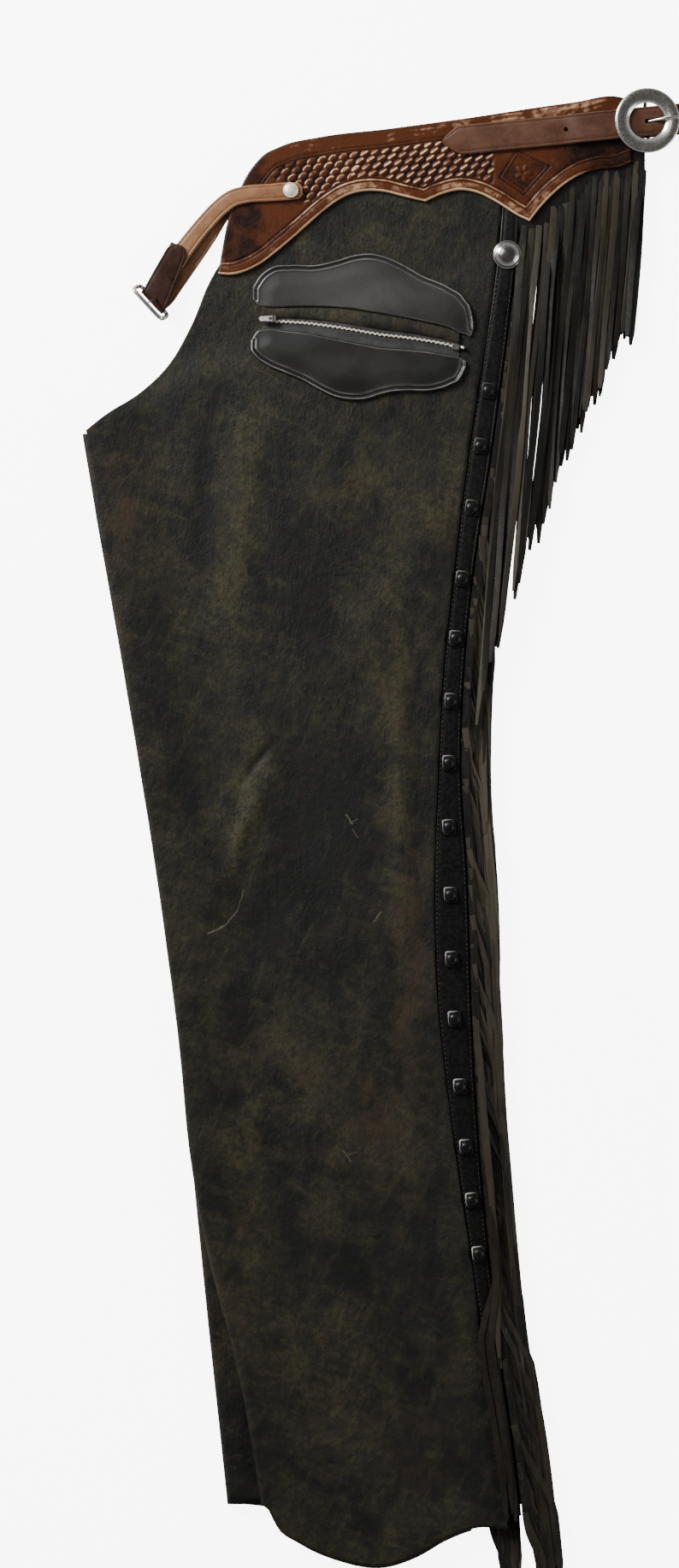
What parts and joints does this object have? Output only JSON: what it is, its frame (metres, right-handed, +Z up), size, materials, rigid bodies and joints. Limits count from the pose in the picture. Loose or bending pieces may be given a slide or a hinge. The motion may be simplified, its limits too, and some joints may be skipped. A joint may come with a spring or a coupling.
{
  "type": "fringed leather chaps, folded in half",
  "caption": "Full-length fringed leather chaps folded in half and laid flat, with a stamped yoke, buckled straps, a zip pocket and a snapped outseam.",
  "frame": {"origin": "the surface that the folded chaps lie on, under the middle of their bounding box", "axes": "+Z up off the surface, +Y along the legs towards the waist, +X towards the outseam and its fringe"},
  "size_m": [0.4464, 1.0824, 0.021],
  "materials": {
    "leg_leather": "oiled, mottled black and olive brown, matt with a soft sheen",
    "yoke_leather": "russet saddle leather, stamped, satin",
    "strap_leather": "russet strap leather, satin, dark edges",
    "front_strap_leather": "tan strap leather, satin",
    "chape_leather": "dark brown leather, satin",
    "closure_leather": "black leather, smooth",
    "pocket_leather": "charcoal grey leather, smooth, satin",
    "fringe_leather": "oiled dark olive leather, cut edges",
    "zip_tape": "black woven tape with metal teeth",
    "black_snap": "black enamelled snap cap",
    "nickel": "polished nickel"
  },
  "bodies": {
    "garment": {"back_buckle": "nickel", "back_chape": "chape_leather", "back_prong": "nickel", "back_strap": "strap_leather", "closure_snap_01": "black_snap", "closure_snap_02": "black_snap", "closure_snap_03": "black_snap", "closure_snap_04": "black_snap", "closure_snap_05": "black_snap", "closure_snap_06": "black_snap", "closure_snap_07": "black_snap", "closure_snap_08": "black_snap", "closure_snap_09": "black_snap", "closure_snap_10": "black_snap", "closure_snap_11": "black_snap", "closure_snap_12": "black_snap", "closure_snap_13": "black_snap", "closure_snap_14": "black_snap", "closure_snap_15": "black_snap", "closure_tab_01": "closure_leather", "closure_tab_02": "closure_leather", "closure_tab_03": "closure_leather", "closure_tab_04": "closure_leather", "closure_tab_05": "closure_leather", "closure_tab_06": "closure_leather", "closure_tab_07": "closure_leather", "closure_tab_08": "closure_leather", "closure_tab_09": "closure_leather", "closure_tab_10": "closure_leather", "closure_tab_11": "closure_leather", "closure_tab_12": "closure_leather", "closure_tab_13": "closure_leather", "closure_tab_14": "closure_leather", "closure_tab_15": "closure_leather", "concho": "nickel", "front_buckle": "nickel", "front_chape": "chape_leather", "front_prong": "nickel", "front_snap": "nickel", "left_closure_strip": "closure_leather", "left_front_strap": "front_strap_leather", "left_hip_fringe": "fringe_leather", "left_leg": "leg_leather", "left_leg_fringe_over": "fringe_leather", "left_leg_fringe_under": "fringe_leather", "left_yoke": "yoke_leather", "pocket_lower": "pocket_leather", "pocket_slider": "nickel", "pocket_upper": "pocket_leather", "pocket_zip": "zip_tape", "right_closure_strip": "closure_leather", "right_front_strap": "front_strap_leather", "right_hip_fringe": "fringe_leather", "right_leg": "leg_leather", "right_leg_fringe": "fringe_leather", "right_yoke": "yoke_leather"},
    "zip_pull": {"pocket_pull": "nickel"}
  },
  "joints": [
    {"name": "pull_hinge", "type": "hinge", "parent": "garment", "child": "zip_pull", "pos_m": [-0.086, 0.375, 0.01237], "axis": [0, 1, 0], "range_deg": [0, 160]}
  ]
}
